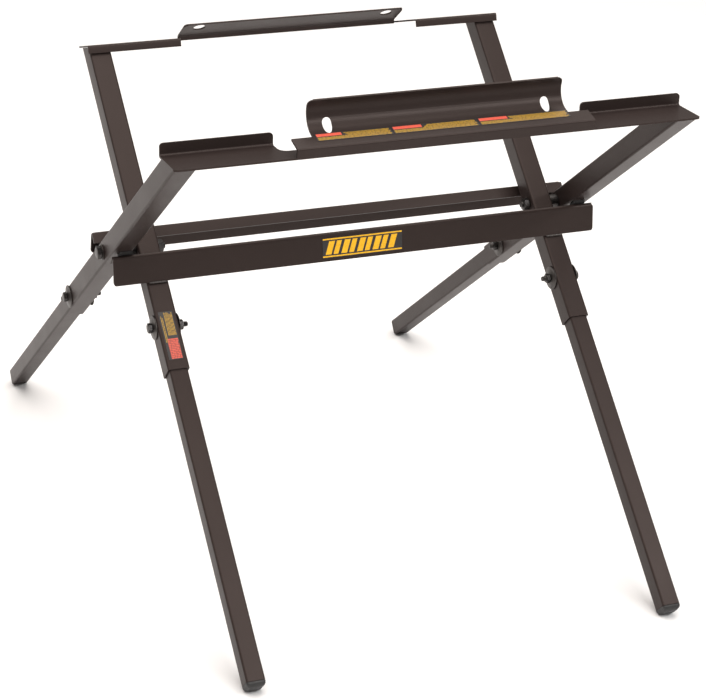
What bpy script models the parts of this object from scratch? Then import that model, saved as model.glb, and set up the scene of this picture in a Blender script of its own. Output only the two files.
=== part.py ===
"""Folding steel stand for a bench-top table saw, open on the floor. Metres, +Z up, X along the rails."""

import math

import bmesh
import bpy
from mathutils import Matrix, Vector

MM = 0.001

# Driving dimensions, in millimetres and degrees.
TUBE = 25.0  # outside of the upper leg tubes
TUBE_WALL = 1.6
TUBE_R = 2.6
LEG = 21.0  # outside of the telescoping lower legs
LEG_WALL = 1.5
LEG_R = 2.4
FIT = 0.3  # air between two pieces that touch

PIVOT_Z = 355.0
OUTER_X = 279.0  # centre lines of the outer frame's tubes
INNER_X = 241.8  # centre lines of the inner frame's tubes
OUTER_END, INNER_END = -219.0, -153.0  # lower ends of the upper tubes, from the pivot
OUTER_CLAMP, INNER_CLAMP = 42.5, 56.0  # clamp bolts above the ends of their tubes
LEG_OUT = 355.5  # bare length of a lower leg, plug included
LEG_IN = 74.0  # length of lower leg inside its tube
TRAVEL = 35.0  # how far a lower leg slides up
PLUG = 6.5
PLUG_R = 5.0
RIVET_UP = 102.5

RAIL_Z = 532.0  # top of the front rail's shelves
REAR_EDGE = (204.5, 530.0)  # back edge of the rear rail's flat
REAR_SLOPE = math.radians(16.3)  # the flat rises to the front
REAR_DEEP = 38.6
SHEET = 2.0
HOOK = 34.0  # length of the rear rail's hook plate
HOOK_HOLE_X, HOOK_HOLE_UP, HOOK_HOLE_D = 118.0, 25.0, 14.6
FRONT_LEN, REAR_LEN = 584.0, 514.0
BRACE_LEN = 584.0
BRACE_TOP = 363.4
BRACE_Y = 41.5
BRACE_FLARE = 4.6  # how far a brace's foot stands out beyond its top
BRACE_T = 2.2
BRACE_BEND = 3.2
FLANGE_END = (30.3, 350.2)  # free edge of a brace's flange, before the bend is rounded

PIVOT_D, PIVOT_AF, PIVOT_HEAD = 8.0, 13.0, 4.6
CLAMP_D, CLAMP_AF, CLAMP_HEAD = 6.0, 10.0, 4.0
CLAMP_NUT, CLAMP_TIP = 4.2, 4.6
DOME_D, DOME_H, DOME_T = 27.0, 2.9, 1.3

ROUND = 20  # sides of a round piece


def foot_angle(reach):
    """Tilt at which a leg of this reach just stands on the floor."""
    long, half = reach - PLUG_R, LEG / 2 - PLUG_R
    return math.asin((PIVOT_Z - PLUG_R) / math.hypot(long, half)) - math.atan2(half, long)


OUTER_TILT = foot_angle(LEG_OUT - OUTER_END)
INNER_TILT = foot_angle(LEG_OUT - INNER_END)


def clear_scene():
    for obj in list(bpy.data.objects):
        bpy.data.objects.remove(obj, do_unlink=True)


def material(name, colour, metallic, roughness):
    mat = bpy.data.materials.new(name)
    mat.use_nodes = True
    shader = mat.node_tree.nodes["Principled BSDF"]
    shader.inputs["Base Color"].default_value = (*colour, 1.0)
    shader.inputs["Metallic"].default_value = metallic
    shader.inputs["Roughness"].default_value = roughness
    return mat


def build_materials():
    return {
        "coat": material("powder_coat", (0.045, 0.038, 0.036), 0.0, 0.45),
        "zinc": material("black_zinc", (0.03, 0.028, 0.028), 0.8, 0.35),
        "washer": material("grey_steel", (0.16, 0.14, 0.13), 0.7, 0.4),
        "plastic": material("black_plastic", (0.012, 0.011, 0.011), 0.0, 0.5),
        "rubber": material("black_rubber", (0.01, 0.01, 0.01), 0.0, 0.8),
        "badge": material("badge_yellow", (1.0, 0.58, 0.0), 0.0, 0.4),
        "label": material("label_olive", (0.3, 0.18, 0.015), 0.0, 0.5),
        "red": material("label_red", (0.75, 0.1, 0.06), 0.0, 0.5),
    }


def leg_frame(tilt, x, front_up):
    """Matrix whose local Z runs up the leg from the pivot, X stays X, and Y completes it."""
    along = Vector((0, -math.cos(tilt) if front_up else math.cos(tilt), math.sin(tilt)))
    across = Vector((1, 0, 0))
    third = along.cross(across)
    rot = Matrix((across, third, along)).transposed().to_4x4()
    return Matrix.Translation(Vector((x, 0, PIVOT_Z)) * MM) @ rot


def mesh_object(name, bm, mat, smooth=None, frame=None):
    bmesh.ops.recalc_face_normals(bm, faces=bm.faces[:])
    mesh = bpy.data.meshes.new(name)
    bm.to_mesh(mesh)
    bm.free()
    if frame is not None:
        mesh.transform(frame)
        if frame.determinant() < 0:
            mesh.flip_normals()
    obj = bpy.data.objects.new(name, mesh)
    bpy.context.scene.collection.objects.link(obj)
    if mat is not None:
        mesh.materials.append(mat)
    if smooth is not None:
        mesh.shade_smooth()
        mesh.set_sharp_from_angle(angle=math.radians(smooth))
    return obj


def rounded_square(size, radius, steps=3):
    """Corners of a rounded square, counter-clockwise, in millimetres."""
    points = []
    inner = size / 2 - radius
    for k in range(4):
        centre = Vector((inner, 0)) + Vector((0, inner))
        turn = Matrix.Rotation(math.pi / 2 * k, 2)
        for i in range(steps + 1):
            a = math.pi / 2 * i / steps
            points.append(turn @ (centre + radius * Vector((math.cos(a), math.sin(a)))))
    return points


def ring(bm, points, place):
    return [bm.verts.new(place(p)) for p in points]


def bridge(bm, low, high):
    count = len(low)
    for i in range(count):
        j = (i + 1) % count
        bm.faces.new((low[i], low[j], high[j], high[i]))


def square_tube(name, size, wall, radius, low, high, mat, frame, cut=None):
    """Open-ended tube from low to high along the leg. cut maps (x, y) to the height of the top end."""
    bm = bmesh.new()
    outer = rounded_square(size, radius)
    inner = rounded_square(size - 2 * wall, max(radius - wall, 0.6))
    top = cut or (lambda p: high)
    rings = []
    for loop in (outer, inner):
        bottom_ring = ring(bm, loop, lambda p: Vector((p[0], p[1], low)) * MM)
        top_ring = ring(bm, loop, lambda p: Vector((p[0], p[1], top(p))) * MM)
        rings.append((bottom_ring, top_ring))
    bridge(bm, *rings[0])
    bridge(bm, rings[1][1], rings[1][0])
    bridge(bm, rings[1][0], rings[0][0])
    bridge(bm, rings[0][1], rings[1][1])
    return mesh_object(name, bm, mat, 30, frame)


def prism(name, profile, x0, x1, mat, smooth=25):
    """Closed (y, z) outline carried along X from x0 to x1."""
    bm = bmesh.new()
    low = ring(bm, profile, lambda p: Vector((x0, p[0], p[1])) * MM)
    high = ring(bm, profile, lambda p: Vector((x1, p[0], p[1])) * MM)
    bridge(bm, low, high)
    bm.faces.new(low[::-1])
    bm.faces.new(high)
    return mesh_object(name, bm, mat, smooth)


def sheet_outline(line, thickness):
    """Outline of a sheet whose one skin follows the open (y, z) line; the other lies to its left."""
    points = [Vector(p) for p in line]
    other = []
    for i, p in enumerate(points):
        before = (p - points[i - 1]).normalized() if i else None
        after = (points[i + 1] - p).normalized() if i < len(points) - 1 else None
        a, b = before or after, after or before
        na, nb = Vector((-a[1], a[0])), Vector((-b[1], b[0]))
        mid = (na + nb).normalized()
        other.append(p + mid * (thickness / mid.dot(na)))
    return [tuple(p) for p in points] + [tuple(p) for p in reversed(other)]


def bend(corner, before, after, radius, steps=3):
    """Points of a rounded bend at a corner between two neighbours."""
    c, a, b = Vector(corner), Vector(before), Vector(after)
    u, v = (a - c).normalized(), (b - c).normalized()
    half = math.acos(max(-1, min(1, u.dot(v)))) / 2
    reach = radius / math.tan(half)
    centre = c + (u + v).normalized() * (radius / math.sin(half))
    start, end = c + u * reach - centre, c + v * reach - centre
    sweep = start.angle_signed(end)
    out = []
    for i in range(steps + 1):
        out.append(tuple(centre + Matrix.Rotation(-sweep * i / steps, 2) @ start))
    return out


def cutter_box(name, low, high):
    bm = bmesh.new()
    bmesh.ops.create_cube(bm, size=1.0)
    for v in bm.verts:
        v.co = Vector([low[i] + (v.co[i] + 0.5) * (high[i] - low[i]) for i in range(3)]) * MM
    return hide(mesh_object(name, bm, None))


def cutter_rod(name, outline, start, end, axis, frame=None):
    """Prism of a closed 2-D outline along axis X, Y or Z."""
    bm = bmesh.new()

    def put(p, h):
        spot = {"X": (h, p[0], p[1]), "Y": (p[0], h, p[1]), "Z": (p[0], p[1], h)}[axis]
        return Vector(spot) * MM

    low = ring(bm, outline, lambda p: put(p, start))
    high = ring(bm, outline, lambda p: put(p, end))
    bridge(bm, low, high)
    bm.faces.new(low[::-1])
    bm.faces.new(high)
    return hide(mesh_object(name, bm, None, None, frame))


def hide(obj):
    obj.hide_render = True
    obj.display_type = "WIRE"
    return obj


def circle(radius, centre=(0, 0), steps=ROUND):
    return [
        (centre[0] + radius * math.cos(2 * math.pi * i / steps),
         centre[1] + radius * math.sin(2 * math.pi * i / steps))
        for i in range(steps)
    ]


def obround(width, length, centre=(0, 0), steps=8):
    """Slot outline, its length along the second axis."""
    r, h = width / 2, (length - width) / 2
    points = []
    for i in range(steps + 1):
        a = math.pi * i / steps
        points.append((centre[0] + r * math.cos(a), centre[1] + h + r * math.sin(a)))
    for i in range(steps + 1):
        a = math.pi + math.pi * i / steps
        points.append((centre[0] + r * math.cos(a), centre[1] - h + r * math.sin(a)))
    return points


def corner_cut(side, x, level, outward, up, r, steps=4):
    """Outline that rounds off one corner of a plate: its edge at side * x, its end at level."""
    x_out, far = side * (x + outward * 3), level + up * 3
    shape = [(x_out, far), (x_out, level - up * r)]
    for i in range(steps + 1):
        a = math.pi / 2 * i / steps
        shape.append((side * (x - outward * r * (1 - math.cos(a))), level - up * r * (1 - math.sin(a))))
    return shape + [(side * (x - outward * r), far)]


def boolean(obj, other, operation="DIFFERENCE"):
    mod = obj.modifiers.new(operation.lower(), "BOOLEAN")
    mod.operation = operation
    mod.solver = "EXACT"
    mod.object = other
    return obj


def lathe(name, profile, mat, centre, side, smooth=30, steps=ROUND):
    """Closed (distance along X, radius) outline turned about the X axis through centre."""
    bm = bmesh.new()
    rings = []
    for h, r in profile:
        if r < 1e-6:
            rings.append([bm.verts.new(Vector((h * side, 0, 0)) * MM)])
            continue
        loop = []
        for i in range(steps):
            a = 2 * math.pi * i / steps
            loop.append(bm.verts.new(Vector((h * side, r * math.cos(a), r * math.sin(a))) * MM))
        rings.append(loop)
    closed = all(len(r) > 1 for r in rings)
    pairs = list(zip(rings, rings[1:] + (rings[:1] if closed else [])))
    for a, b in pairs[: len(rings) if closed else len(rings) - 1]:
        for i in range(steps):
            j = (i + 1) % steps
            if len(a) == 1:
                bm.faces.new((a[0], b[i], b[j]))
            elif len(b) == 1:
                bm.faces.new((a[i], a[j], b[0]))
            else:
                bm.faces.new((a[i], a[j], b[j], b[i]))
    return mesh_object(name, bm, mat, smooth, Matrix.Translation(Vector(centre) * MM))


def bolt(name, centre, side, start, shank_d, length, across, head, mat):
    """Hex-head bolt along X: the head sits outside start, the shank runs inwards from it."""
    bm = bmesh.new()
    r_hex, chamfer = across / math.sqrt(3), across * 0.06

    def loop(h, radius, steps, phase=0.0):
        out = []
        for i in range(steps):
            a = 2 * math.pi * i / steps + phase
            out.append(bm.verts.new(Vector((h * side, radius * math.cos(a), radius * math.sin(a))) * MM))
        return out

    steps = 18
    r = shank_d / 2
    tip = [loop(start - length, r * 0.72, steps), loop(start - length + 1.0, r, steps)]
    base = loop(start, r, steps)
    hex_in, hex_out = loop(start, r_hex, 6), loop(start + head - chamfer, r_hex, 6)
    hex_top = loop(start + head, r_hex * 0.86, 6)
    bm.faces.new(tip[0])
    bridge(bm, tip[0], tip[1])
    bridge(bm, tip[1], base)
    for k in range(6):
        arc = [base[(3 * k + i) % steps] for i in range(4)]
        bm.faces.new([hex_in[k]] + arc + [hex_in[(k + 1) % 6]])
    bridge(bm, hex_in, hex_out)
    bridge(bm, hex_out, hex_top)
    bm.faces.new(hex_top)
    return mesh_object(name, bm, mat, 25, Matrix.Translation(Vector(centre) * MM))


def nut(name, centre, side, start, thick, bore_d, across, mat):
    bm = bmesh.new()
    r_hex, r_bore, steps = across / math.sqrt(3), bore_d / 2 + FIT, 18

    def loop(h, radius, count):
        out = []
        for i in range(count):
            a = 2 * math.pi * i / count
            out.append(bm.verts.new(Vector((h * side, radius * math.cos(a), radius * math.sin(a))) * MM))
        return out

    faces = [(loop(h, r_hex, 6), loop(h, r_bore, steps)) for h in (start, start + thick)]
    for hexa, bore in faces:
        for k in range(6):
            arc = [bore[(3 * k + i) % steps] for i in range(4)]
            bm.faces.new([hexa[k]] + arc + [hexa[(k + 1) % 6]])
    bridge(bm, faces[0][0], faces[1][0])
    bridge(bm, faces[1][1], faces[0][1])
    return mesh_object(name, bm, mat, 25, Matrix.Translation(Vector(centre) * MM))


def leg_point(tilt, front_up, s):
    sign = -1 if front_up else 1
    return (sign * math.cos(tilt) * s, PIVOT_Z + math.sin(tilt) * s)


def build_upper_tube(key, x, tilt, front_up, end, clamp_s, mats):
    """Upper tube, cut level under its rail, with pivot and clamp holes across it."""
    frame = leg_frame(tilt, x, front_up)
    along, third = (frame.to_3x3() @ Vector(v) for v in ((0, 0, 1), (0, 1, 0)))
    if front_up:
        spot, slope = (0, RAIL_Z - SHEET - FIT), 0.0
    else:
        spot, slope = rear_flat(0, -SHEET - FIT), REAR_SLOPE
    normal = Vector((0, math.sin(slope), math.cos(slope)))
    level = normal.dot(Vector((0, spot[0], spot[1] - PIVOT_Z)))

    def cut(p):
        return (level - p[1] * normal.dot(third)) / normal.dot(along)

    tube = square_tube(f"upper_tube_{key}", TUBE, TUBE_WALL, TUBE_R, end, 0, mats["coat"], frame, cut)
    reach = TUBE
    pivot = cutter_rod(f"cut_pivot_{key}", circle(PIVOT_D / 2 + FIT), -reach, reach, "X", frame)
    clamp = cutter_rod(
        f"cut_clamp_{key}", circle(CLAMP_D / 2 + FIT, (0, clamp_s)), -reach, reach, "X", frame
    )
    boolean(tube, pivot)
    boolean(tube, clamp)
    return tube


def build_lower_leg(key, x, tilt, front_up, end, clamp_s, mats):
    """Telescoping lower leg with a slot for the clamp bolt, a foot plug and a rivet in its right wall."""
    frame = leg_frame(tilt, x, front_up)
    foot = end - LEG_OUT
    leg = square_tube(
        f"lower_leg_{key}", LEG, LEG_WALL, LEG_R, foot + PLUG, end + LEG_IN, mats["coat"], frame
    )
    slot = obround(CLAMP_D + 2 * FIT, TRAVEL + CLAMP_D + 2 * FIT, (0, clamp_s - TRAVEL / 2))
    boolean(leg, cutter_rod(f"cut_slot_{key}", slot, -TUBE, TUBE, "X", frame))
    rivet_s = foot + RIVET_UP
    hole = cutter_rod(f"cut_rivet_{key}", circle(2.5 + FIT, (0, rivet_s), 16), 0, TUBE, "X", frame)
    boolean(leg, hole)
    build_plug(key, frame, foot, mats)
    y, z = leg_point(tilt, front_up, rivet_s)
    half = LEG / 2 + FIT
    tail = half - LEG_WALL - 2.5
    profile = [(tail, 0), (tail, 2.5), (half, 2.5), (half, 4.2)]
    profile += [(half + 0.7, 3.8), (half + 1.5, 2.4), (half + 1.8, 0)]
    lathe(f"foot_rivet_{key}", profile, mats["zinc"], (x, y, z), 1, 40, 16)


def build_plug(key, frame, foot, mats):
    """Plastic plug: a rounded flange as wide as the leg, and a stem inside it."""
    bm = bmesh.new()
    levels = []
    for i in range(5):
        a = math.pi / 2 * i / 4
        inset = PLUG_R * (1 - math.sin(a))
        levels.append((foot + PLUG_R * (1 - math.cos(a)), LEG - 2 * inset, LEG_R + PLUG_R * 0.4 * (1 - math.sin(a))))
    levels.append((foot + PLUG - FIT, LEG, LEG_R))
    stem = LEG - 2 * LEG_WALL - 2 * FIT
    levels.append((foot + PLUG - FIT, stem, 0.8))
    levels.append((foot + PLUG + 14, stem, 0.8))
    rings = []
    for h, size, radius in levels:
        rings.append(ring(bm, rounded_square(size, radius), lambda p: Vector((p[0], p[1], h)) * MM))
    for low, high in zip(rings, rings[1:]):
        bridge(bm, low, high)
    bm.faces.new(rings[0][::-1])
    bm.faces.new(rings[-1])
    return mesh_object(f"foot_plug_{key}", bm, mats["plastic"], 40, frame)


def build_clamp(key, x, side, tilt, front_up, clamp_s, mats):
    """Clamp bolt with a dished washer on each side of the tube and a nut on the inner side."""
    y, z = leg_point(tilt, front_up, clamp_s)
    centre = (x, y, z)
    face = TUBE / 2 + FIT
    top = face + DOME_H
    bore = CLAMP_D / 2 + FIT
    rim = DOME_D / 2
    outline = []
    steps = 3
    for i in range(steps + 1):
        r = rim + (bore - rim) * i / steps
        outline.append((face + (DOME_H - DOME_T) * (1 - ((r - bore) / (rim - bore)) ** 2), r))
    for i in range(steps, -1, -1):
        r = rim + (bore - rim) * i / steps
        outline.append((face + DOME_T + (DOME_H - DOME_T) * (1 - ((r - bore) / (rim - bore)) ** 2), r))
    lathe(f"dome_washer_out_{key}", outline, mats["washer"], centre, side, 35, ROUND)
    lathe(f"dome_washer_in_{key}", outline, mats["washer"], centre, -side, 35, ROUND)
    length = 2 * top + 4 * FIT + CLAMP_NUT + CLAMP_TIP
    bolt(f"clamp_bolt_{key}", centre, side, top + FIT, CLAMP_D, length, CLAMP_AF, CLAMP_HEAD, mats["zinc"])
    nut(f"clamp_nut_{key}", centre, -side, top + FIT, CLAMP_NUT, CLAMP_D, CLAMP_AF, mats["zinc"])


def build_pivot(key, side, mats):
    """Pivot bolt through both tubes, with a washer under the head, a spacer and a nut."""
    out = OUTER_X + TUBE / 2
    washer_t = 1.5
    centre = (0, 0, PIVOT_Z)
    bore = PIVOT_D / 2 + FIT

    def disc(name, start, thick, radius, mat):
        outline = [(start, bore), (start, radius), (start + thick, radius), (start + thick, bore)]
        lathe(name, outline, mat, centre, side, 30, 24)

    disc(f"pivot_washer_{key}", out + FIT, washer_t, 8.5, mats["washer"])
    gap = OUTER_X - INNER_X - TUBE
    disc(f"pivot_spacer_{key}", INNER_X + TUBE / 2 + FIT, gap - 2 * FIT, 8.0, mats["zinc"])
    start = out + washer_t + 2 * FIT
    nut_at = INNER_X - TUBE / 2 - FIT
    length = start - nut_at + 6.8 + 2.5
    bolt(f"pivot_bolt_{key}", centre, side, start, PIVOT_D, length, PIVOT_AF, PIVOT_HEAD, mats["zinc"])
    nut(f"pivot_nut_{key}", centre, side, nut_at - 6.8, 6.8, PIVOT_D, PIVOT_AF, mats["zinc"])


def arc_line(start, heading, radius, sweep, steps):
    """Points of an arc that leaves start in this heading and turns left, in degrees."""
    points = []
    a0 = math.radians(heading)
    for i in range(1, steps + 1):
        a = a0 + math.radians(sweep) * i / steps
        points.append((start[0] + radius * (math.sin(a) - math.sin(a0)),
                       start[1] + radius * (math.cos(a0) - math.cos(a))))
    return points


def build_front_rail(mats):
    """Outer frame's rail: end shelves with upstands, a neck, and a raised shelf with a curved cradle."""
    z1, z0 = RAIL_Z, RAIL_Z - SHEET
    front, back, tab_top = -253.5, -207.0, 545.0
    outline = [(front, z1)] + bend((back, z1), (front, z1), (back, tab_top), 2.5)
    outline += [(back, tab_top), (back + SHEET, tab_top), (back + SHEET, z0 + 2.2)]
    outline += [(back + SHEET - 0.7, z0 + 0.7), (back - 0.2, z0), (front, z0)]
    half = FRONT_LEN / 2
    rail = prism("front_rail", outline, -half, half, mats["coat"])
    raised, wing, tab_end = 165.0, 142.0, 172.6
    for side, tag in ((-1, "l"), (1, "r")):
        for x, outward, name in ((half, 1, "end"), (tab_end, -1, "in")):
            shape = corner_cut(side, x, tab_top, outward, 1, 4.0)
            boolean(rail, cutter_rod(f"cut_tab_{name}_{tag}", shape, back - 4, back + 6, "Y"))
        shape = corner_cut(side, half, front, 1, -1, 5.0)
        boolean(rail, cutter_rod(f"cut_shelf_corner_{tag}", shape, z0 - 5, z1 + 5, "Z"))
    # The middle of the sheet is cut back to a neck, with a curve at each end.
    neck_back, notch_r, edge = -228.5, 9.0, tab_end
    shape = [(-edge, back + 8), (-edge, back - 6)]
    shape += [(-edge + notch_r * (1 - math.cos(math.pi / 2 * i / 5)),
               neck_back + notch_r - notch_r * math.sin(math.pi / 2 * i / 5)) for i in range(6)]
    shape += [(edge - notch_r * (1 - math.cos(math.pi / 2 * i / 5)),
               neck_back + notch_r - notch_r * math.sin(math.pi / 2 * i / 5)) for i in range(5, -1, -1)]
    shape += [(edge, back - 6), (edge, back + 8)]
    boolean(rail, cutter_rod("cut_notch", shape, z0 - 5, tab_top + 5, "Z"))
    # Raised part: front flange, sloping label shelf, then the cradle that curves up and over.
    shelf_end = (-232.5, 548.2)
    heading = math.degrees(math.atan2(shelf_end[1] - 541.4, shelf_end[0] + 255.5))
    cradle = arc_line(shelf_end, heading, 20.0, 104.0, 14)
    tail = cradle[-1]
    lean = math.radians(heading + 104.0)
    cradle.append((tail[0] + 2.1 * math.cos(lean), tail[1] + 2.1 * math.sin(lean)))
    nose = bend((-255.5, 541.4), (-253.5, z0), shelf_end, 2.2, 4)
    flat = sheet_outline([(-253.5, z0 + 0.4)] + nose + [shelf_end] + cradle, -SHEET)
    body = prism("part_raised", flat, -raised, raised, None)
    hide(body)
    for side, tag in ((-1, "l"), (1, "r")):
        low = min(side * wing, side * (raised + 5)), -237.0, 538.0
        high = max(side * wing, side * (raised + 5)), -190.0, 603.0
        boolean(body, cutter_box(f"cut_wing_end_{tag}", low, high))
        shape = corner_cut(side, wing, max(p[1] for p in cradle) + 0.4, 1, 1, 6.0)
        boolean(body, cutter_rod(f"cut_wing_corner_{tag}", shape, -245, -195, "Y"))
        hole = obround(10.4, 13.2, (side * 121.4, 553.5))
        boolean(body, cutter_rod(f"cut_wing_slot_{tag}", hole, -240, -200, "Y"))
    boolean(rail, body, "UNION")
    return rail


def rear_flat(reach, height=0.0):
    """(y, z) on the rear rail's sloping flat: reach forward of its back edge, height above its top."""
    y, z = REAR_EDGE
    c, n = math.cos(REAR_SLOPE), math.sin(REAR_SLOPE)
    return (y - c * reach + n * height, z + n * reach + c * height)


def build_rear_rail(mats):
    """Inner frame's rail: sloping flanged ends, a narrow strip, and a cradle that hooks to the front."""
    deep, drop = REAR_DEEP, 9.5
    front_top, front_low = rear_flat(deep), rear_flat(deep, -drop)
    nose = bend(front_top, front_low, rear_flat(0), 2.5)
    outline = [front_low] + nose + [rear_flat(0), rear_flat(0, -SHEET)]
    outline += [rear_flat(deep - SHEET - 0.8, -SHEET), rear_flat(deep - SHEET, -SHEET - 0.8)]
    outline += [rear_flat(deep - SHEET, -drop)]
    half = REAR_LEN / 2
    rail = prism("rear_rail", outline, -half, half, mats["coat"])
    # The flange stops short of the hook, and the flat is cut back almost to its back edge there.
    wing, skin = 137.8, REAR_EDGE[0] + 0.2
    left_end, right_end, strip, back = -146.0, 150.5, rear_flat(9.0)[0], REAR_EDGE[0] - 1.2
    y_front, y_flange = front_low[0] - 4, rear_flat(deep - 4.5)[0]
    shape = [(left_end, y_front), (left_end, y_flange - 1.5), (left_end + 1.5, y_flange)]
    shape += [(-wing - 3.5, strip - 6), (-wing - 1.5, strip), (-wing - 0.4, strip), (-wing - 0.4, back)]
    shape += [(wing + 0.4, back), (wing + 0.4, strip), (wing + 1.5, strip), (wing + 5, strip - 6)]
    shape += [(right_end - 1.5, y_flange), (right_end, y_flange - 1.5), (right_end, y_front)]
    boolean(rail, cutter_rod("cut_rear_notch", shape, REAR_EDGE[1] - 12, REAR_EDGE[1] + 20, "Z"))
    return boolean(rail, build_hook(wing, skin), "UNION")


def build_hook(wing, skin):
    """Low web at the back of the rear rail, folded over into a plate that rises to the front."""
    rise = math.radians(37.0)
    fold = (skin, REAR_EDGE[1] + 3.4)
    tip = (fold[0] - HOOK * math.cos(rise), fold[1] + HOOK * math.sin(rise))
    foot = (skin, REAR_EDGE[1] - SHEET - 0.6)
    flat = sheet_outline([foot] + bend(fold, foot, tip, 4.5, 5) + [tip], SHEET)
    body = hide(prism("part_hook", flat, -wing, wing, None))
    for side, tag in ((-1, "l"), (1, "r")):
        shape = corner_cut(side, wing, tip[0], 1, -1, 4.0)
        boolean(body, cutter_rod(f"cut_hook_corner_{tag}", shape, tip[1] - 12, tip[1] + 12, "Z"))
        centre = fold[0] - HOOK_HOLE_UP * math.cos(rise), fold[1] + HOOK_HOLE_UP * math.sin(rise)
        place = Matrix.Translation(Vector((side * HOOK_HOLE_X, *centre)) * MM)
        place = place @ Matrix.Rotation(-rise, 4, "X")
        boolean(body, cutter_rod(f"cut_hook_hole_{tag}", circle(HOOK_HOLE_D / 2), -6, 6, "Z", place))
    return body


def brace_foot(tilt):
    """(distance from the pivot, height) of the foot of a brace's upright leg, just off its tube."""
    y = BRACE_Y + BRACE_FLARE
    z = PIVOT_Z - math.tan(tilt) * y + TUBE / 2 / math.cos(tilt) + FIT
    return y, z + math.tan(tilt) * BRACE_T + 2 * FIT


def brace_line(sign, tilt):
    """(y, z) line of a brace's outer skin: up its upright leg, over the bend and down its flange."""
    y, z = brace_foot(tilt)
    top, end = (sign * BRACE_Y, BRACE_TOP), (sign * FLANGE_END[0], FLANGE_END[1])
    bent = bend(top, (sign * y, z), end, BRACE_BEND, 4)
    rise = BRACE_TOP - max(p[1] for p in bent)
    return [(sign * y, z)] + [(p[0], p[1] + rise) for p in bent + [end]]


def build_brace(name, sign, tilt, mats):
    """Folded bar: an upright leg away from the pivot and a sloping flange towards it."""
    outline = sheet_outline(brace_line(sign, tilt), sign * BRACE_T)
    half = BRACE_LEN / 2
    obj = prism(name, outline, -half, half, mats["coat"])
    for side, tag in ((-1, "l"), (1, "r")):
        for level, up, skin in ((brace_foot(tilt)[1] - 0.5, -1, 2), (BRACE_TOP, 1, 3)):
            shape = corner_cut(side, half, level, 1, up, 4.0)
            low, high = sorted((sign * (BRACE_Y - skin), sign * (BRACE_Y + 9)))
            boolean(obj, cutter_rod(f"cut_{name}_{tag}_{up}", shape, low, high, "Y"))
    return obj


def plate(name, corners, thickness, mat):
    """Thin slab whose four bottom corners are given; it rises along their common normal."""
    bm = bmesh.new()
    points = [Vector(c) for c in corners]
    normal = (points[1] - points[0]).cross(points[3] - points[0]).normalized()
    low = [bm.verts.new((p + normal * FIT * 0.4) * MM) for p in points]
    high = [bm.verts.new((p + normal * (FIT * 0.4 + thickness)) * MM) for p in points]
    bridge(bm, low, high)
    bm.faces.new(low[::-1])
    bm.faces.new(high)
    return mesh_object(name, bm, mat)


def build_labels(mats):
    """Blank badge on the front brace, three rail labels and one leg label."""
    (foot_y, foot_z), (bend_y, bend_z) = brace_line(-1, INNER_TILT)[:2]

    def face(z):
        return foot_y + (bend_y - foot_y) * (z - foot_z) / (bend_z - foot_z) - 0.02

    z0, z1 = 335.6, 358.6
    corners = [(-48.5, face(z0), z0), (48.5, face(z0), z0), (48.5, face(z1), z1), (-48.5, face(z1), z1)]
    plate("badge", corners, 0.3, mats["badge"])
    a, b = Vector((-255.5, 541.4)), Vector((-232.5, 548.2))
    lo, hi = a.lerp(b, 0.44), a.lerp(b, 0.96)
    for k, (x0, x1) in enumerate(((-139.5, -57.5), (-56.5, 38.0), (39.0, 141.0)), 1):
        corners = [(x0, lo[0], lo[1]), (x1, lo[0], lo[1]), (x1, hi[0], hi[1]), (x0, hi[0], hi[1])]
        plate(f"rail_label_{k}", corners, 0.2, mats["label"])
    frame = leg_frame(INNER_TILT, -INNER_X, False)
    face_y = -TUBE / 2
    if (frame.to_3x3() @ Vector((0, -1, 0))).y > 0:
        face_y = TUBE / 2
    sign = -1 if face_y < 0 else 1
    quad = [(-8.5, face_y, -142), (7.5, face_y, -142), (7.5, face_y, -85), (-8.5, face_y, -85)]
    if sign > 0:
        quad = quad[::-1]
    corners = [tuple((frame @ (Vector(c) * MM)) / MM) for c in quad]
    plate("leg_label", corners, 0.2, mats["red"])


def build_pads(mats):
    """Rubber pads on the front brace's flange: the outer tubes rest on them when the stand is open."""
    line = [Vector(p) for p in brace_line(-1, INNER_TILT)]
    flange = (line[-1] - line[-2]).normalized()
    lift = Vector((-flange[1], flange[0])) * FIT
    y_front, y_back = -BRACE_Y + 3.5, line[-1][0] + 0.8

    def under_tube(y):
        return (y, PIVOT_Z - math.tan(OUTER_TILT) * y - TUBE / 2 / math.cos(OUTER_TILT) - FIT)

    outline = [(y_front, BRACE_TOP + FIT), under_tube(y_front), under_tube(y_back)]
    outline += [tuple(line[-1] + lift + flange), tuple(line[-2] + lift), (line[-3][0], BRACE_TOP + FIT)]
    for side, tag in ((-1, "l"), (1, "r")):
        low, high = sorted((side * (OUTER_X - 10.5), side * (OUTER_X + 4)))
        prism(f"stop_pad_{tag}", outline, low, high, mats["rubber"])


def centre_on_floor():
    """Puts the origin on the floor under the middle of the object."""
    solids = [obj for obj in bpy.data.objects if not obj.hide_render]
    spots = [v.co.y for obj in solids for v in obj.data.vertices]
    for obj in bpy.data.objects:
        obj.location.y = -(min(spots) + max(spots)) / 2


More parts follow.
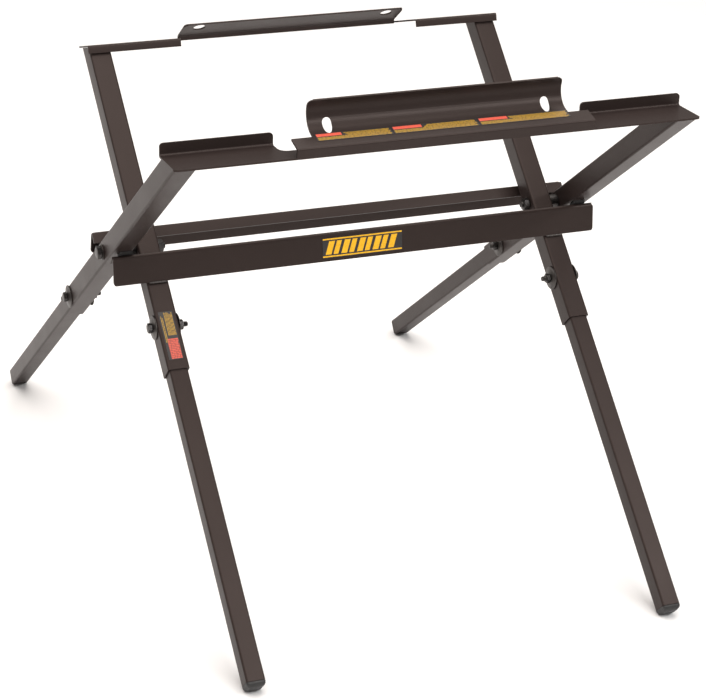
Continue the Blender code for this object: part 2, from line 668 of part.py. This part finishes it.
def main():
    clear_scene()
    bpy.context.scene.unit_settings.scale_length = 1.0
    mats = build_materials()
    for side, tag in ((-1, "l"), (1, "r")):
        frames = (
            (f"outer_{tag}", side * OUTER_X, OUTER_TILT, True, OUTER_END, OUTER_CLAMP),
            (f"inner_{tag}", side * INNER_X, INNER_TILT, False, INNER_END, INNER_CLAMP),
        )
        for key, x, tilt, front_up, end, clamp_up in frames:
            build_upper_tube(key, x, tilt, front_up, end, end + clamp_up, mats)
            build_lower_leg(key, x, tilt, front_up, end, end + clamp_up, mats)
            build_clamp(key, x, side, tilt, front_up, end + clamp_up, mats)
        build_pivot(tag, side, mats)
    build_front_rail(mats)
    build_rear_rail(mats)
    build_brace("front_brace", -1, INNER_TILT, mats)
    build_brace("rear_brace", 1, OUTER_TILT, mats)
    build_labels(mats)
    build_pads(mats)
    centre_on_floor()


main()
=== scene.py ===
"""Looks of the folding saw stand: satin coat, black fasteners, printed film, and a white studio."""

import math
import random

import bmesh
import bpy
from mathutils import Matrix, Vector


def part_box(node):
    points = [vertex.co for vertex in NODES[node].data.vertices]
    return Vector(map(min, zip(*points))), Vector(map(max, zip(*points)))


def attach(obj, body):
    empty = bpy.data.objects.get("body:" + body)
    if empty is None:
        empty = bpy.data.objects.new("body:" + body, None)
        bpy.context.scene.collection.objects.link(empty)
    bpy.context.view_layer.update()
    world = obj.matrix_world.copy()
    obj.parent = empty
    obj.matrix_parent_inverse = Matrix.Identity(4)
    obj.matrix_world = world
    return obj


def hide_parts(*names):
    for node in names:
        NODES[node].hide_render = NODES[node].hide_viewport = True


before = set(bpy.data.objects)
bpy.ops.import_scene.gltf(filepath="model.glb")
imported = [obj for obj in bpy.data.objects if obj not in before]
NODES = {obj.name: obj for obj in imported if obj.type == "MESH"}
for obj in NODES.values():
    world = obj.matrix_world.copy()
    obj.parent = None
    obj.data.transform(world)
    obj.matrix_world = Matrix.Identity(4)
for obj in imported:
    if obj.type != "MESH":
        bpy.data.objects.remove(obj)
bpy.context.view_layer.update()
MM = 0.001

# Camera: the photograph's viewing angle.
YAW, PITCH, ROLL = math.radians(-20.7566), math.radians(-23.3185), math.radians(1.1279)
CAMERA_FROM_PIVOT = Vector((-0.9127, -2.1414, 0.8569))
LENS, SENSOR = 110.5, 36.0
SHIFT = (0.1279, -0.0144)

LEGS = ("outer_l", "outer_r", "inner_l", "inner_r")
SIDES = {"l": -1, "r": 1}
FRAMES = {"outer": "outer_frame", "inner": "inner_frame"}

# Fasteners, in millimetres: shank, width across flats, head, thread pitch and threaded length.
PIVOT_BOLT = {"width": 8.0, "flats": 13.0, "head": 4.6, "pitch": 1.25, "thread": 14.0}
CLAMP_BOLT = {"width": 6.0, "flats": 10.0, "head": 4.0, "pitch": 1.0, "thread": 12.0}
CORNER_DROP = 0.055  # height of a turned-down hexagon corner, as a share of the width across flats
THREAD_DEEP = 0.32  # depth of a thread, as a share of its pitch
DOME_RIM, DOME_BORE, DOME_THICK = 13.5, 3.15, 1.2

# Print, in millimetres.
INK_LOW, INK_HIGH = 0.001, 0.012  # an ink patch's underside and top above its film
DASH_GAP, DASH_LEAST = 0.45, 0.4
BADGE_BARS = 9

WELD_R, WELD_HALF = 1.3, 10.5 * MM


# ---------------------------------------------------------------- materials

class Shader:
    """One node material, with short calls for the nodes it uses."""

    def __init__(self, name, colour, metallic, roughness):
        self.mat = bpy.data.materials.new(name)
        self.mat.use_nodes = True
        self.tree = self.mat.node_tree
        self.bsdf = self.tree.nodes["Principled BSDF"]
        self.bsdf.inputs["Base Color"].default_value = (*colour, 1.0)
        self.bsdf.inputs["Metallic"].default_value = metallic
        self.bsdf.inputs["Roughness"].default_value = roughness
        self.place = self.tree.nodes.new("ShaderNodeTexCoord").outputs["Object"]
        self.normal = None

    def link(self, source, target):
        self.tree.links.new(source, target)

    def noise(self, scale, detail=3.0):
        node = self.tree.nodes.new("ShaderNodeTexNoise")
        node.inputs["Scale"].default_value = scale
        node.inputs["Detail"].default_value = detail
        node.inputs["Roughness"].default_value = 0.55
        self.link(self.place, node.inputs["Vector"])
        return node.outputs["Fac"]

    def spread(self, value, low, high):
        """Stretches the middle of a noise over the range from low to high."""
        node = self.tree.nodes.new("ShaderNodeMapRange")
        for key, number in (("From Min", 0.3), ("From Max", 0.7), ("To Min", low), ("To Max", high)):
            node.inputs[key].default_value = number
        self.link(value, node.inputs["Value"])
        return node.outputs["Result"]

    def mix(self, factor, one, two):
        node = self.tree.nodes.new("ShaderNodeMix")
        node.data_type = "RGBA"
        self.link(factor, node.inputs["Factor"])
        for key, colour in (("A", one), ("B", two)):
            socket = next(s for s in node.inputs if s.name == key and s.type == "RGBA")
            socket.default_value = (*colour, 1.0)
        return next(s for s in node.outputs if s.type == "RGBA")

    def bump(self, height, strength, distance):
        """Adds a bump on top of any earlier one."""
        node = self.tree.nodes.new("ShaderNodeBump")
        node.inputs["Strength"].default_value = strength
        node.inputs["Distance"].default_value = distance
        self.link(height, node.inputs["Height"])
        if self.normal:
            self.link(self.normal, node.inputs["Normal"])
        self.normal = node.outputs["Normal"]
        self.link(self.normal, self.bsdf.inputs["Normal"])

    def colour(self, source):
        self.link(source, self.bsdf.inputs["Base Color"])

    def roughness(self, source):
        self.link(source, self.bsdf.inputs["Roughness"])


def powder_coat():
    """Satin brown-black coat: fine orange peel, faint cloudiness in colour and gloss."""
    s = Shader("powder_coat", (0.03, 0.0215, 0.0195), 0.0, 0.42)
    s.bsdf.inputs["Specular IOR Level"].default_value = 0.24
    s.bsdf.inputs["Specular Tint"].default_value = (1.0, 0.83, 0.77, 1.0)
    cloud = s.spread(s.noise(9.0, 3.0), 0.0, 1.0)
    s.colour(s.mix(cloud, (0.0205, 0.0144, 0.013), (0.0238, 0.0166, 0.0151)))
    s.roughness(s.spread(s.noise(30.0, 3.0), 0.37, 0.41))
    s.bump(s.noise(650.0, 2.0), 0.22, 0.0004)
    s.bump(s.noise(2600.0, 2.0), 0.12, 0.0001)
    return s.mat


def weld_bead():
    """Coated weld metal, a little lighter and rougher than the tubes."""
    s = Shader("weld_bead", (0.05, 0.042, 0.038), 0.0, 0.36)
    s.colour(s.mix(s.spread(s.noise(700.0), 0.0, 1.0), (0.03, 0.025, 0.023), (0.065, 0.055, 0.05)))
    s.bump(s.noise(1500.0, 3.0), 0.3, 0.0002)
    return s.mat


def black_zinc():
    """Black-plated steel of bolts, nuts, spacers and rivets."""
    s = Shader("black_zinc", (0.04, 0.037, 0.036), 0.85, 0.34)
    s.colour(s.mix(s.spread(s.noise(240.0), 0.0, 1.0), (0.028, 0.026, 0.026), (0.06, 0.055, 0.052)))
    s.roughness(s.spread(s.noise(900.0, 4.0), 0.27, 0.42))
    s.bump(s.noise(3200.0, 2.0), 0.15, 0.0001)
    return s.mat


def grey_steel():
    """Dull dark steel of the pressed washers."""
    s = Shader("grey_steel", (0.16, 0.14, 0.13), 0.8, 0.4)
    s.colour(s.mix(s.spread(s.noise(180.0), 0.0, 1.0), (0.04, 0.035, 0.033), (0.075, 0.067, 0.062)))
    s.roughness(s.spread(s.noise(600.0, 4.0), 0.3, 0.48))
    s.bump(s.noise(1800.0, 3.0), 0.15, 0.0001)
    return s.mat


def black_plastic():
    """Moulded plastic of the foot plugs."""
    s = Shader("black_plastic", (0.013, 0.012, 0.012), 0.0, 0.5)
    s.colour(s.mix(s.spread(s.noise(120.0), 0.0, 1.0), (0.011, 0.0105, 0.0105), (0.018, 0.017, 0.0165)))
    s.roughness(s.spread(s.noise(300.0, 4.0), 0.42, 0.58))
    s.bump(s.noise(2200.0, 3.0), 0.3, 0.00015)
    return s.mat


def black_rubber():
    """Matte black rubber of the stop pads; its near-black colour also paints the shade in the gap between the
    tubes and the braces.
    """
    s = Shader("black_rubber", (0.012, 0.012, 0.012), 0.0, 0.8)
    # painted shade: the pads' near-black colour also darkens the gap under the tubes, where shade falls
    s.colour(s.mix(s.spread(s.noise(90.0), 0.0, 1.0), (0.009, 0.009, 0.009), (0.018, 0.017, 0.017)))
    s.roughness(s.spread(s.noise(240.0, 4.0), 0.7, 0.88))
    s.bump(s.noise(1500.0, 4.0), 0.4, 0.0002)
    return s.mat


def film(name, dark, light):
    """Printed film: even ink with a faint mottle and a slightly wavy surface."""
    gloss = 0.35
    s = Shader(name, light, 0.0, gloss)
    s.colour(s.mix(s.spread(s.noise(420.0, 4.0), 0.0, 1.0), dark, light))
    s.roughness(s.spread(s.noise(150.0, 3.0), gloss - 0.05, gloss + 0.1))
    s.bump(s.noise(160.0, 2.0), 0.08, 0.0004)
    return s.mat


MATS = {
    "powder_coat": powder_coat(),
    "black_zinc": black_zinc(),
    "grey_steel": grey_steel(),
    "black_plastic": black_plastic(),
    "black_rubber": black_rubber(),
    "weld": weld_bead(),
    "film": film("film_black", (0.014, 0.012, 0.012), (0.02, 0.017, 0.016)),
    "ink_yellow": film("ink_yellow", (0.8, 0.42, 0.0), (0.9, 0.49, 0.003)),
    "ink_olive": film("ink_olive", (0.36, 0.2, 0.011), (0.46, 0.265, 0.015)),
    "ink_red": film("ink_red", (0.55, 0.07, 0.04), (0.68, 0.1, 0.06)),
}


# ------------------------------------------------------------------- pieces

def new_piece(name, bm, mat, body, smooth=30.0, replaces=()):
    """Mesh piece in the row frame that rides on a body."""
    bmesh.ops.recalc_face_normals(bm, faces=bm.faces[:])
    mesh = bpy.data.meshes.new(name)
    bm.to_mesh(mesh)
    bm.free()
    mesh.materials.append(MATS[mat])
    mesh.shade_smooth()
    mesh.set_sharp_from_angle(angle=math.radians(smooth))
    obj = bpy.data.objects.new(name, mesh)
    bpy.context.scene.collection.objects.link(obj)
    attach(obj, body)
    if replaces:
        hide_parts(*replaces)


def wrap(bm, low, high):
    """Band of faces between two rings of the same number of vertices."""
    for i in range(len(low)):
        j = (i + 1) % len(low)
        bm.faces.new((low[i], low[j], high[j], high[i]))


def capped(bm, rings):
    """Closed skin over a stack of rings, with a face on the first and the last."""
    for low, high in zip(rings, rings[1:]):
        wrap(bm, low, high)
    bm.faces.new(rings[0][::-1])
    bm.faces.new(rings[-1])


def turned(bm, place, rows, steps):
    """Capped solid turned about local Z from rows of (height, radius), where a radius may be a function."""
    rings = []
    for height, radius in rows:
        loop = []
        for i in range(steps):
            a = 2 * math.pi * i / steps
            r = radius(a) if callable(radius) else radius
            loop.append(bm.verts.new(place @ Vector((r * math.cos(a), r * math.sin(a), height))))
        rings.append(loop)
    capped(bm, rings)


def centre_of(node):
    low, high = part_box(node)
    return (low + high) / 2


def refine(node, mat, width, segments=2):
    """Keeps a CAD node's shape, rounds its edges by width millimetres and gives it its finish."""
    obj = NODES[node]
    obj.data.materials.clear()
    obj.data.materials.append(MATS[mat])
    for poly in obj.data.polygons:
        poly.material_index = 0
    obj.data.shade_smooth()
    weld = obj.modifiers.new("weld", "WELD")
    weld.merge_threshold = 0.00001
    flat = obj.modifiers.new("flat", "DECIMATE")
    flat.decimate_type = "DISSOLVE"
    flat.angle_limit = math.radians(0.6)
    if width:
        edges = obj.modifiers.new("edges", "BEVEL")
        edges.width = width * MM
        edges.segments = segments
        edges.limit_method = "ANGLE"
        edges.angle_limit = math.radians(38)
    shading = obj.modifiers.new("normals", "WEIGHTED_NORMAL")
    shading.keep_sharp = False
    shading.weight = 60


def finish_frame():
    for key in LEGS:
        refine(f"upper_tube_{key}", "powder_coat", 0.25)
        refine(f"lower_leg_{key}", "powder_coat", 0.25)
        refine(f"foot_plug_{key}", "black_plastic", 0.0)
        refine(f"foot_rivet_{key}", "black_zinc", 0.0)
    for name in ("front_rail", "rear_rail", "front_brace", "rear_brace"):
        refine(name, "powder_coat", 0.45)
    for tag in SIDES:
        # the stop pads' black rubber also stands in for painted shade in the gap under the tubes
        refine(f"stop_pad_{tag}", "black_rubber", 0.6, 3)
        refine(f"pivot_washer_{tag}", "grey_steel", 0.2)
        refine(f"pivot_spacer_{tag}", "black_zinc", 0.2)


finish_frame()


# ----------------------------------------------------------------- hardware

def across_x(spot, side):
    """Matrix whose local Z points along side * X from this spot."""
    turn = Matrix.Rotation(math.radians(90.0 * side), 4, "Y")
    return Matrix.Translation(spot) @ turn


def hexagon(flats, limit):
    """Radius of a hexagon of this width across flats, at an angle, cut to a round limit."""
    def radius(a):
        part = (a + math.pi / 6) % (math.pi / 3) - math.pi / 6
        return min(flats / 2 / math.cos(part), limit) * MM
    return radius


def chamfered(flats, low, high, ends):
    """Rows of a hexagonal block whose corners are turned down at these ends."""
    steps = 4
    rows = []
    for i in range(steps + 1):
        k = i / steps
        turned_down = flats * (0.475 + 0.105 * k)
        for end, height in (("low", low + CORNER_DROP * flats * k), ("high", high - CORNER_DROP * flats * k)):
            rows.append((height * MM, hexagon(flats, turned_down if end in ends else flats)))
    return sorted(rows, key=lambda row: row[0])


def threaded(bm, place, width, pitch, low, high):
    """Threaded shank from low to high, with a turned-down tip at low."""
    rings_per_turn, tip_long = 8, 1.2
    count = int((high - low) / pitch * rings_per_turn)

    def groove(h):
        shrink = 0.8 + 0.2 * min(1.0, (h - low) / tip_long)

        def radius(a):
            wave = abs(2 * ((h / pitch - a / math.tau) % 1.0) - 1)
            return (width / 2 - THREAD_DEEP * pitch * wave) * shrink * MM
        return radius

    heights = [low + (high - low) * k / count for k in range(count + 1)]
    rows = [(low * MM, width * 0.3 * MM)] + [(h * MM, groove(h)) for h in heights]
    turned(bm, place, rows, 32)


def tube_skin(bm, place, outline, steps=48):
    """Closed (height, radius) outline in millimetres, turned about local Z."""
    rings = []
    for h, r in outline:
        angles = [math.tau * i / steps for i in range(steps)]
        spots = [Vector((r * MM * math.cos(a), r * MM * math.sin(a), h * MM)) for a in angles]
        rings.append([bm.verts.new(place @ spot) for spot in spots])
    for low, high in zip(rings, rings[1:] + rings[:1]):
        wrap(bm, low, high)


def span(node, spot, side):
    """Near and far end of a node along side * X, in millimetres from the spot."""
    low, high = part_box(node)
    return sorted(((low.x - spot.x) * side / MM, (high.x - spot.x) * side / MM))


def build_bolt(name, side, kind, body):
    """Bolt with a chamfered hex head, a plain shank and a cut thread at the far end."""
    width, head = kind["width"], kind["head"]
    spot = centre_of(name)
    low, high = span(name, spot, side)
    place = across_x(spot, side)
    bm = bmesh.new()
    turned(bm, place, chamfered(kind["flats"], high - head, high, ("high",)), 72)
    low_plain = low + kind["thread"]
    rows = [(low_plain - 0.2, width * 0.42), (low_plain + 0.3, width / 2), (high - head + 0.1, width / 2)]
    turned(bm, place, [(h * MM, r * MM) for h, r in rows], 32)
    threaded(bm, place, width, kind["pitch"], low, low_plain)
    new_piece(f"{name}_turned", bm, "black_zinc", body, 32, [name])


def build_nut(name, side, kind, body):
    """Hex nut with its corners turned down at both ends and a small lip round the bolt."""
    spot = centre_of(name)
    low, high = span(name, spot, side)
    place = across_x(spot, side)
    bm = bmesh.new()
    turned(bm, place, chamfered(kind["flats"], low, high, ("low", "high")), 72)
    bore = kind["width"] / 2
    lip = [(low - 0.02, bore + 0.05), (low - 0.02, bore + 0.75), (low + 0.1, bore + 0.75)]
    tube_skin(bm, place, lip)
    new_piece(f"{name}_turned", bm, "black_zinc", body, 32, [name])


def build_dome(name, side, body):
    """Pressed washer: rolled rim on the tube, smooth dome up to the bolt."""
    spot = centre_of(name)
    low, high = span(name, spot, side)
    rim, bore, thick = DOME_RIM, DOME_BORE, DOME_THICK
    rise, steps = high - low - thick, 16

    def skin(r):
        k = (r - bore) / (rim - bore)
        return low + rise * (0.5 + 0.5 * math.cos(math.pi * min(1.0, k * 1.06)))

    radii = [rim + (bore - rim) * i / steps for i in range(1, steps + 1)]
    outer = [(skin(r) + thick, r) for r in radii]
    inner = [(skin(r), r) for r in reversed(radii)]
    edge = [(low, rim - 0.25), (low + 0.25, rim), (low + thick - 0.4, rim), (low + thick - 0.1, rim - 0.3)]
    bm = bmesh.new()
    tube_skin(bm, across_x(spot, side), edge + outer + inner, 64)
    new_piece(f"{name}_pressed", bm, "grey_steel", body, 40, [name])


def build_hardware():
    for key in LEGS:
        which, tag = key.split("_")
        side, body = SIDES[tag], FRAMES[which]
        build_bolt(f"clamp_bolt_{key}", side, CLAMP_BOLT, body)
        build_nut(f"clamp_nut_{key}", -side, CLAMP_BOLT, body)
        build_dome(f"dome_washer_out_{key}", side, body)
        build_dome(f"dome_washer_in_{key}", -side, body)
    for tag, side in SIDES.items():
        build_bolt(f"pivot_bolt_{tag}", side, PIVOT_BOLT, "outer_frame")
        build_nut(f"pivot_nut_{tag}", -side, PIVOT_BOLT, "outer_frame")


build_hardware()


# -------------------------------------------------------------------- print

class Face:
    """Outer face of a thin CAD plate: centre, two directions in it, and its size in millimetres."""

    def __init__(self, node, towards, along):
        obj = NODES[node]
        turn = obj.matrix_world
        best = max(obj.data.polygons, key=lambda p: (turn.to_3x3() @ p.normal).dot(towards))
        self.normal = (turn.to_3x3() @ best.normal).normalized()
        points = [turn @ v.co for v in obj.data.vertices]
        top = max(p.dot(self.normal) for p in points)
        points = [p for p in points if p.dot(self.normal) > top - 0.00005]
        self.u = (along - self.normal * along.dot(self.normal)).normalized()
        self.v = self.normal.cross(self.u)
        self.low = Vector((min(p.dot(self.u) for p in points), min(p.dot(self.v) for p in points)))
        self.high = Vector((max(p.dot(self.u) for p in points), max(p.dot(self.v) for p in points)))
        self.top = top
        self.wide, self.tall = (self.high - self.low) / MM

    def at(self, x, y, up):
        """World point x, y millimetres from the face's low corner."""
        flat = self.u * (self.low.x + x * MM) + self.v * (self.low.y + y * MM)
        return flat + self.normal * (self.top + up * MM)


def ink(bm, face, corners):
    """One printed patch: a thin slab over these corners, counter-clockwise on the face."""
    low = [bm.verts.new(face.at(x, y, INK_LOW)) for x, y in corners]
    high = [bm.verts.new(face.at(x, y, INK_HIGH)) for x, y in corners]
    capped(bm, [low, high])


def block(x0, y0, x1, y1, lean=0.0):
    """Corners of a box, its top pushed sideways by lean."""
    return [(x0, y0), (x1, y0), (x1 + lean, y1), (x0 + lean, y1)]


def dashes(rng, bm, face, box, pitch, tall, longest, hole=None, ragged=0.12):
    """Rows of short dashes of uneven length that fill a box and leave its hole free."""
    x0, y0, x1, y1 = box
    for k in range(int((y1 - y0) / pitch)):
        y, x = y0 + pitch * (k + 0.5) - tall / 2, x0
        stop = x1 - rng.uniform(0.0, ragged) * (x1 - x0)
        while x < stop:
            end = min(x + rng.uniform(0.35, 1.0) * longest, stop)
            clear = not hole or end < hole[0] or x > hole[2] or y + tall < hole[1] or y > hole[3]
            if clear and end - x > DASH_LEAST:
                ink(bm, face, block(x, y, end, y + tall))
            x = end + DASH_GAP


def finish_rail_label(rng, node, share):
    """A red header over part of the top, and dashes over the rest."""
    refine(node, "film", 0.0)
    face = Face(node, Vector((0, -0.3, 1)), Vector((1, 0, 0)))
    w, h, margin = face.wide, face.tall, 1.2
    x0, y0, x1, y1 = margin, h * 0.56, margin + w * share, h - 0.9
    red, olive = bmesh.new(), bmesh.new()
    ink(red, face, block(x0, y0, x1, y1))
    around_header = (0, y0 - 0.4, x1 + 0.8, y1 + 1)
    body_text = (margin, 0.7, w - margin, h - 0.7)
    dashes(rng, olive, face, body_text, 1.28, 0.8, 6.5, around_header, 0.025)
    new_piece(f"{node}_header", red, "ink_red", "outer_frame")
    new_piece(f"{node}_print", olive, "ink_olive", "outer_frame")


def finish_leg_label(rng):
    """Columns of dashes that run up the leg, over a block of red dashes across it."""
    refine("leg_label", "film", 0.0)
    outwards = Vector((0, -1, 0.6))
    face = Face("leg_label", outwards, Vector((1, 0, 0)))
    w, h = face.wide, face.tall
    red, olive = bmesh.new(), bmesh.new()
    dashes(rng, red, face, (3.2, 0.8, w - 0.8, h * 0.45), 2.0, 1.62, 5.0, ragged=0.0)
    side = Face("leg_label", outwards, face.v)
    dashes(rng, olive, side, (h * 0.36, w - 4.0, h * 0.93, w - 1.2), 1.4, 0.8, 5.0)
    dashes(rng, olive, side, (h * 0.5, 1.0, h * 0.99, w - 5.2), 1.35, 0.8, 6.0)
    new_piece("leg_label_header", red, "ink_red", "inner_frame")
    new_piece("leg_label_print", olive, "ink_olive", "inner_frame")


def finish_labels():
    rng = random.Random(5)
    for k, share in ((1, 0.33), (2, 0.33), (3, 0.31)):
        finish_rail_label(rng, f"rail_label_{k}", share)
    finish_leg_label(rng)


def finish_badge():
    """Generic badge: a thin line above and below a row of slanted bars."""
    refine("badge", "film", 0.0)
    face = Face("badge", Vector((0, -1, 0)), Vector((1, 0, 0)))
    w, h = face.wide, face.tall
    bm = bmesh.new()
    ink(bm, face, block(0.4, 0.8, w - 0.4, 2.4))
    ink(bm, face, block(0.4, h - 2.4, w - 0.4, h - 0.8))
    low, high, lean, margin = h * 0.17, h * 0.83, h * 0.2, 3.5
    step = (w - lean - 2 * margin) / BADGE_BARS
    for k in range(BADGE_BARS):
        x = margin + step * k
        thick = step * (0.62 if k % 2 else 0.74)
        ink(bm, face, block(x, low, x + thick, high, lean))
    new_piece("badge_print", bm, "ink_yellow", "inner_frame")


finish_labels()
finish_badge()


# -------------------------------------------------------------------- welds

def bead(name, start, end, body, rng):
    """Weld bead: a wavy low ridge from start to end."""
    length = (end - start).length
    axis = (end - start).normalized()
    side = axis.orthogonal().normalized()
    other = axis.cross(side)
    count, steps = max(8, int(length / (0.7 * MM))), 12
    bm = bmesh.new()
    rings = []
    for k in range(count + 1):
        t = k / count
        taper = math.sqrt(max(0.0, 1 - abs(2 * t - 1) ** 6))
        swell = taper * (0.86 + 0.14 * math.cos(t * length / MM * 2.4))
        r = max(WELD_R * swell * rng.uniform(0.94, 1.04), WELD_R * 0.12) * MM
        spot = start + axis * (length * t)
        angles = [math.tau * i / steps for i in range(steps)]
        rings.append([bm.verts.new(spot + (side * math.cos(a) + other * math.sin(a)) * r) for a in angles])
    capped(bm, rings)
    new_piece(name, bm, "weld", body, 60)


def build_welds():
    """One bead along the foot of each brace, on the tube that it crosses."""
    rng = random.Random(11)
    for tag in SIDES:
        for which, brace, name in (("inner", "front_brace", "brace_weld"),
                                   ("outer", "rear_brace", "rear_brace_weld")):
            x = centre_of(f"upper_tube_{which}_{tag}").x
            low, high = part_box(brace)
            y = low.y - 0.3 * MM if which == "inner" else high.y + 0.3 * MM
            spot, reach = Vector((x, y, low.z - 0.1 * MM)), Vector((WELD_HALF, 0, 0))
            bead(f"{name}_{tag}", spot - reach, spot + reach, FRAMES[which], rng)


build_welds()


# -------------------------------------------------------------------- stage

def build_floor():
    bpy.ops.mesh.primitive_plane_add(size=60.0, location=(0, 0, -0.0005))
    floor = bpy.context.object
    floor.name = "studio_floor"
    s = Shader("studio_floor", (0.88, 0.88, 0.88), 0.0, 0.9)
    s.bsdf.inputs["Specular IOR Level"].default_value = 0.0
    floor.data.materials.append(s.mat)


def area_light(name, at, towards, size, power, colour=(1.0, 1.0, 1.0)):
    """Rectangular lamp that faces a spot, with its power in watts."""
    data = bpy.data.lights.new(name, "AREA")
    data.shape = "RECTANGLE"
    data.size, data.size_y = size
    data.energy = power
    data.color = colour
    obj = bpy.data.objects.new(name, data)
    bpy.context.scene.collection.objects.link(obj)
    obj.location = at
    obj.rotation_euler = (Vector(towards) - Vector(at)).to_track_quat("-Z", "Y").to_euler()


def build_lights():
    area_light("top_light", (-0.5, 0.3, 4.2), (0, 0, 0.2), (7.0, 6.0), 335.0, (1.0, 0.95, 0.91))
    area_light("strip_light", (1.0, -2.3, 2.4), (0, -0.25, 0.56), (3.2, 0.22), 60.0)
    area_light("front_fill", (-2.8, -3.2, 1.6), (0, 0, 0.3), (2.4, 1.8), 5.0)
    world = bpy.data.worlds.new("studio")
    world.use_nodes = True
    back = world.node_tree.nodes["Background"]
    back.inputs["Color"].default_value = (1.0, 0.93, 0.88, 1.0)
    back.inputs["Strength"].default_value = 0.3
    bpy.context.scene.world = world
    bpy.context.scene.view_settings.view_transform = "Standard"


def build_camera():
    """Camera at the photograph's place, measured from the middle of the pivot line."""
    forward = Vector((-math.sin(YAW) * math.cos(PITCH), math.cos(YAW) * math.cos(PITCH), math.sin(PITCH)))
    level = Vector((math.cos(YAW), math.sin(YAW), 0))
    above = level.cross(forward)
    right = level * math.cos(ROLL) + above * math.sin(ROLL)
    up = above * math.cos(ROLL) - level * math.sin(ROLL)
    data = bpy.data.cameras.new("camera")
    data.lens, data.sensor_width = LENS, SENSOR
    data.shift_x, data.shift_y = SHIFT
    camera = bpy.data.objects.new("camera", data)
    bpy.context.scene.collection.objects.link(camera)
    turn = Matrix((right, up, -forward)).transposed().to_4x4()
    pivot = centre_of("pivot_bolt_l")
    spot = Vector((0, pivot.y, pivot.z)) + CAMERA_FROM_PIVOT
    camera.matrix_world = Matrix.Translation(spot) @ turn
    bpy.context.scene.camera = camera


build_floor()
build_lights()
build_camera()
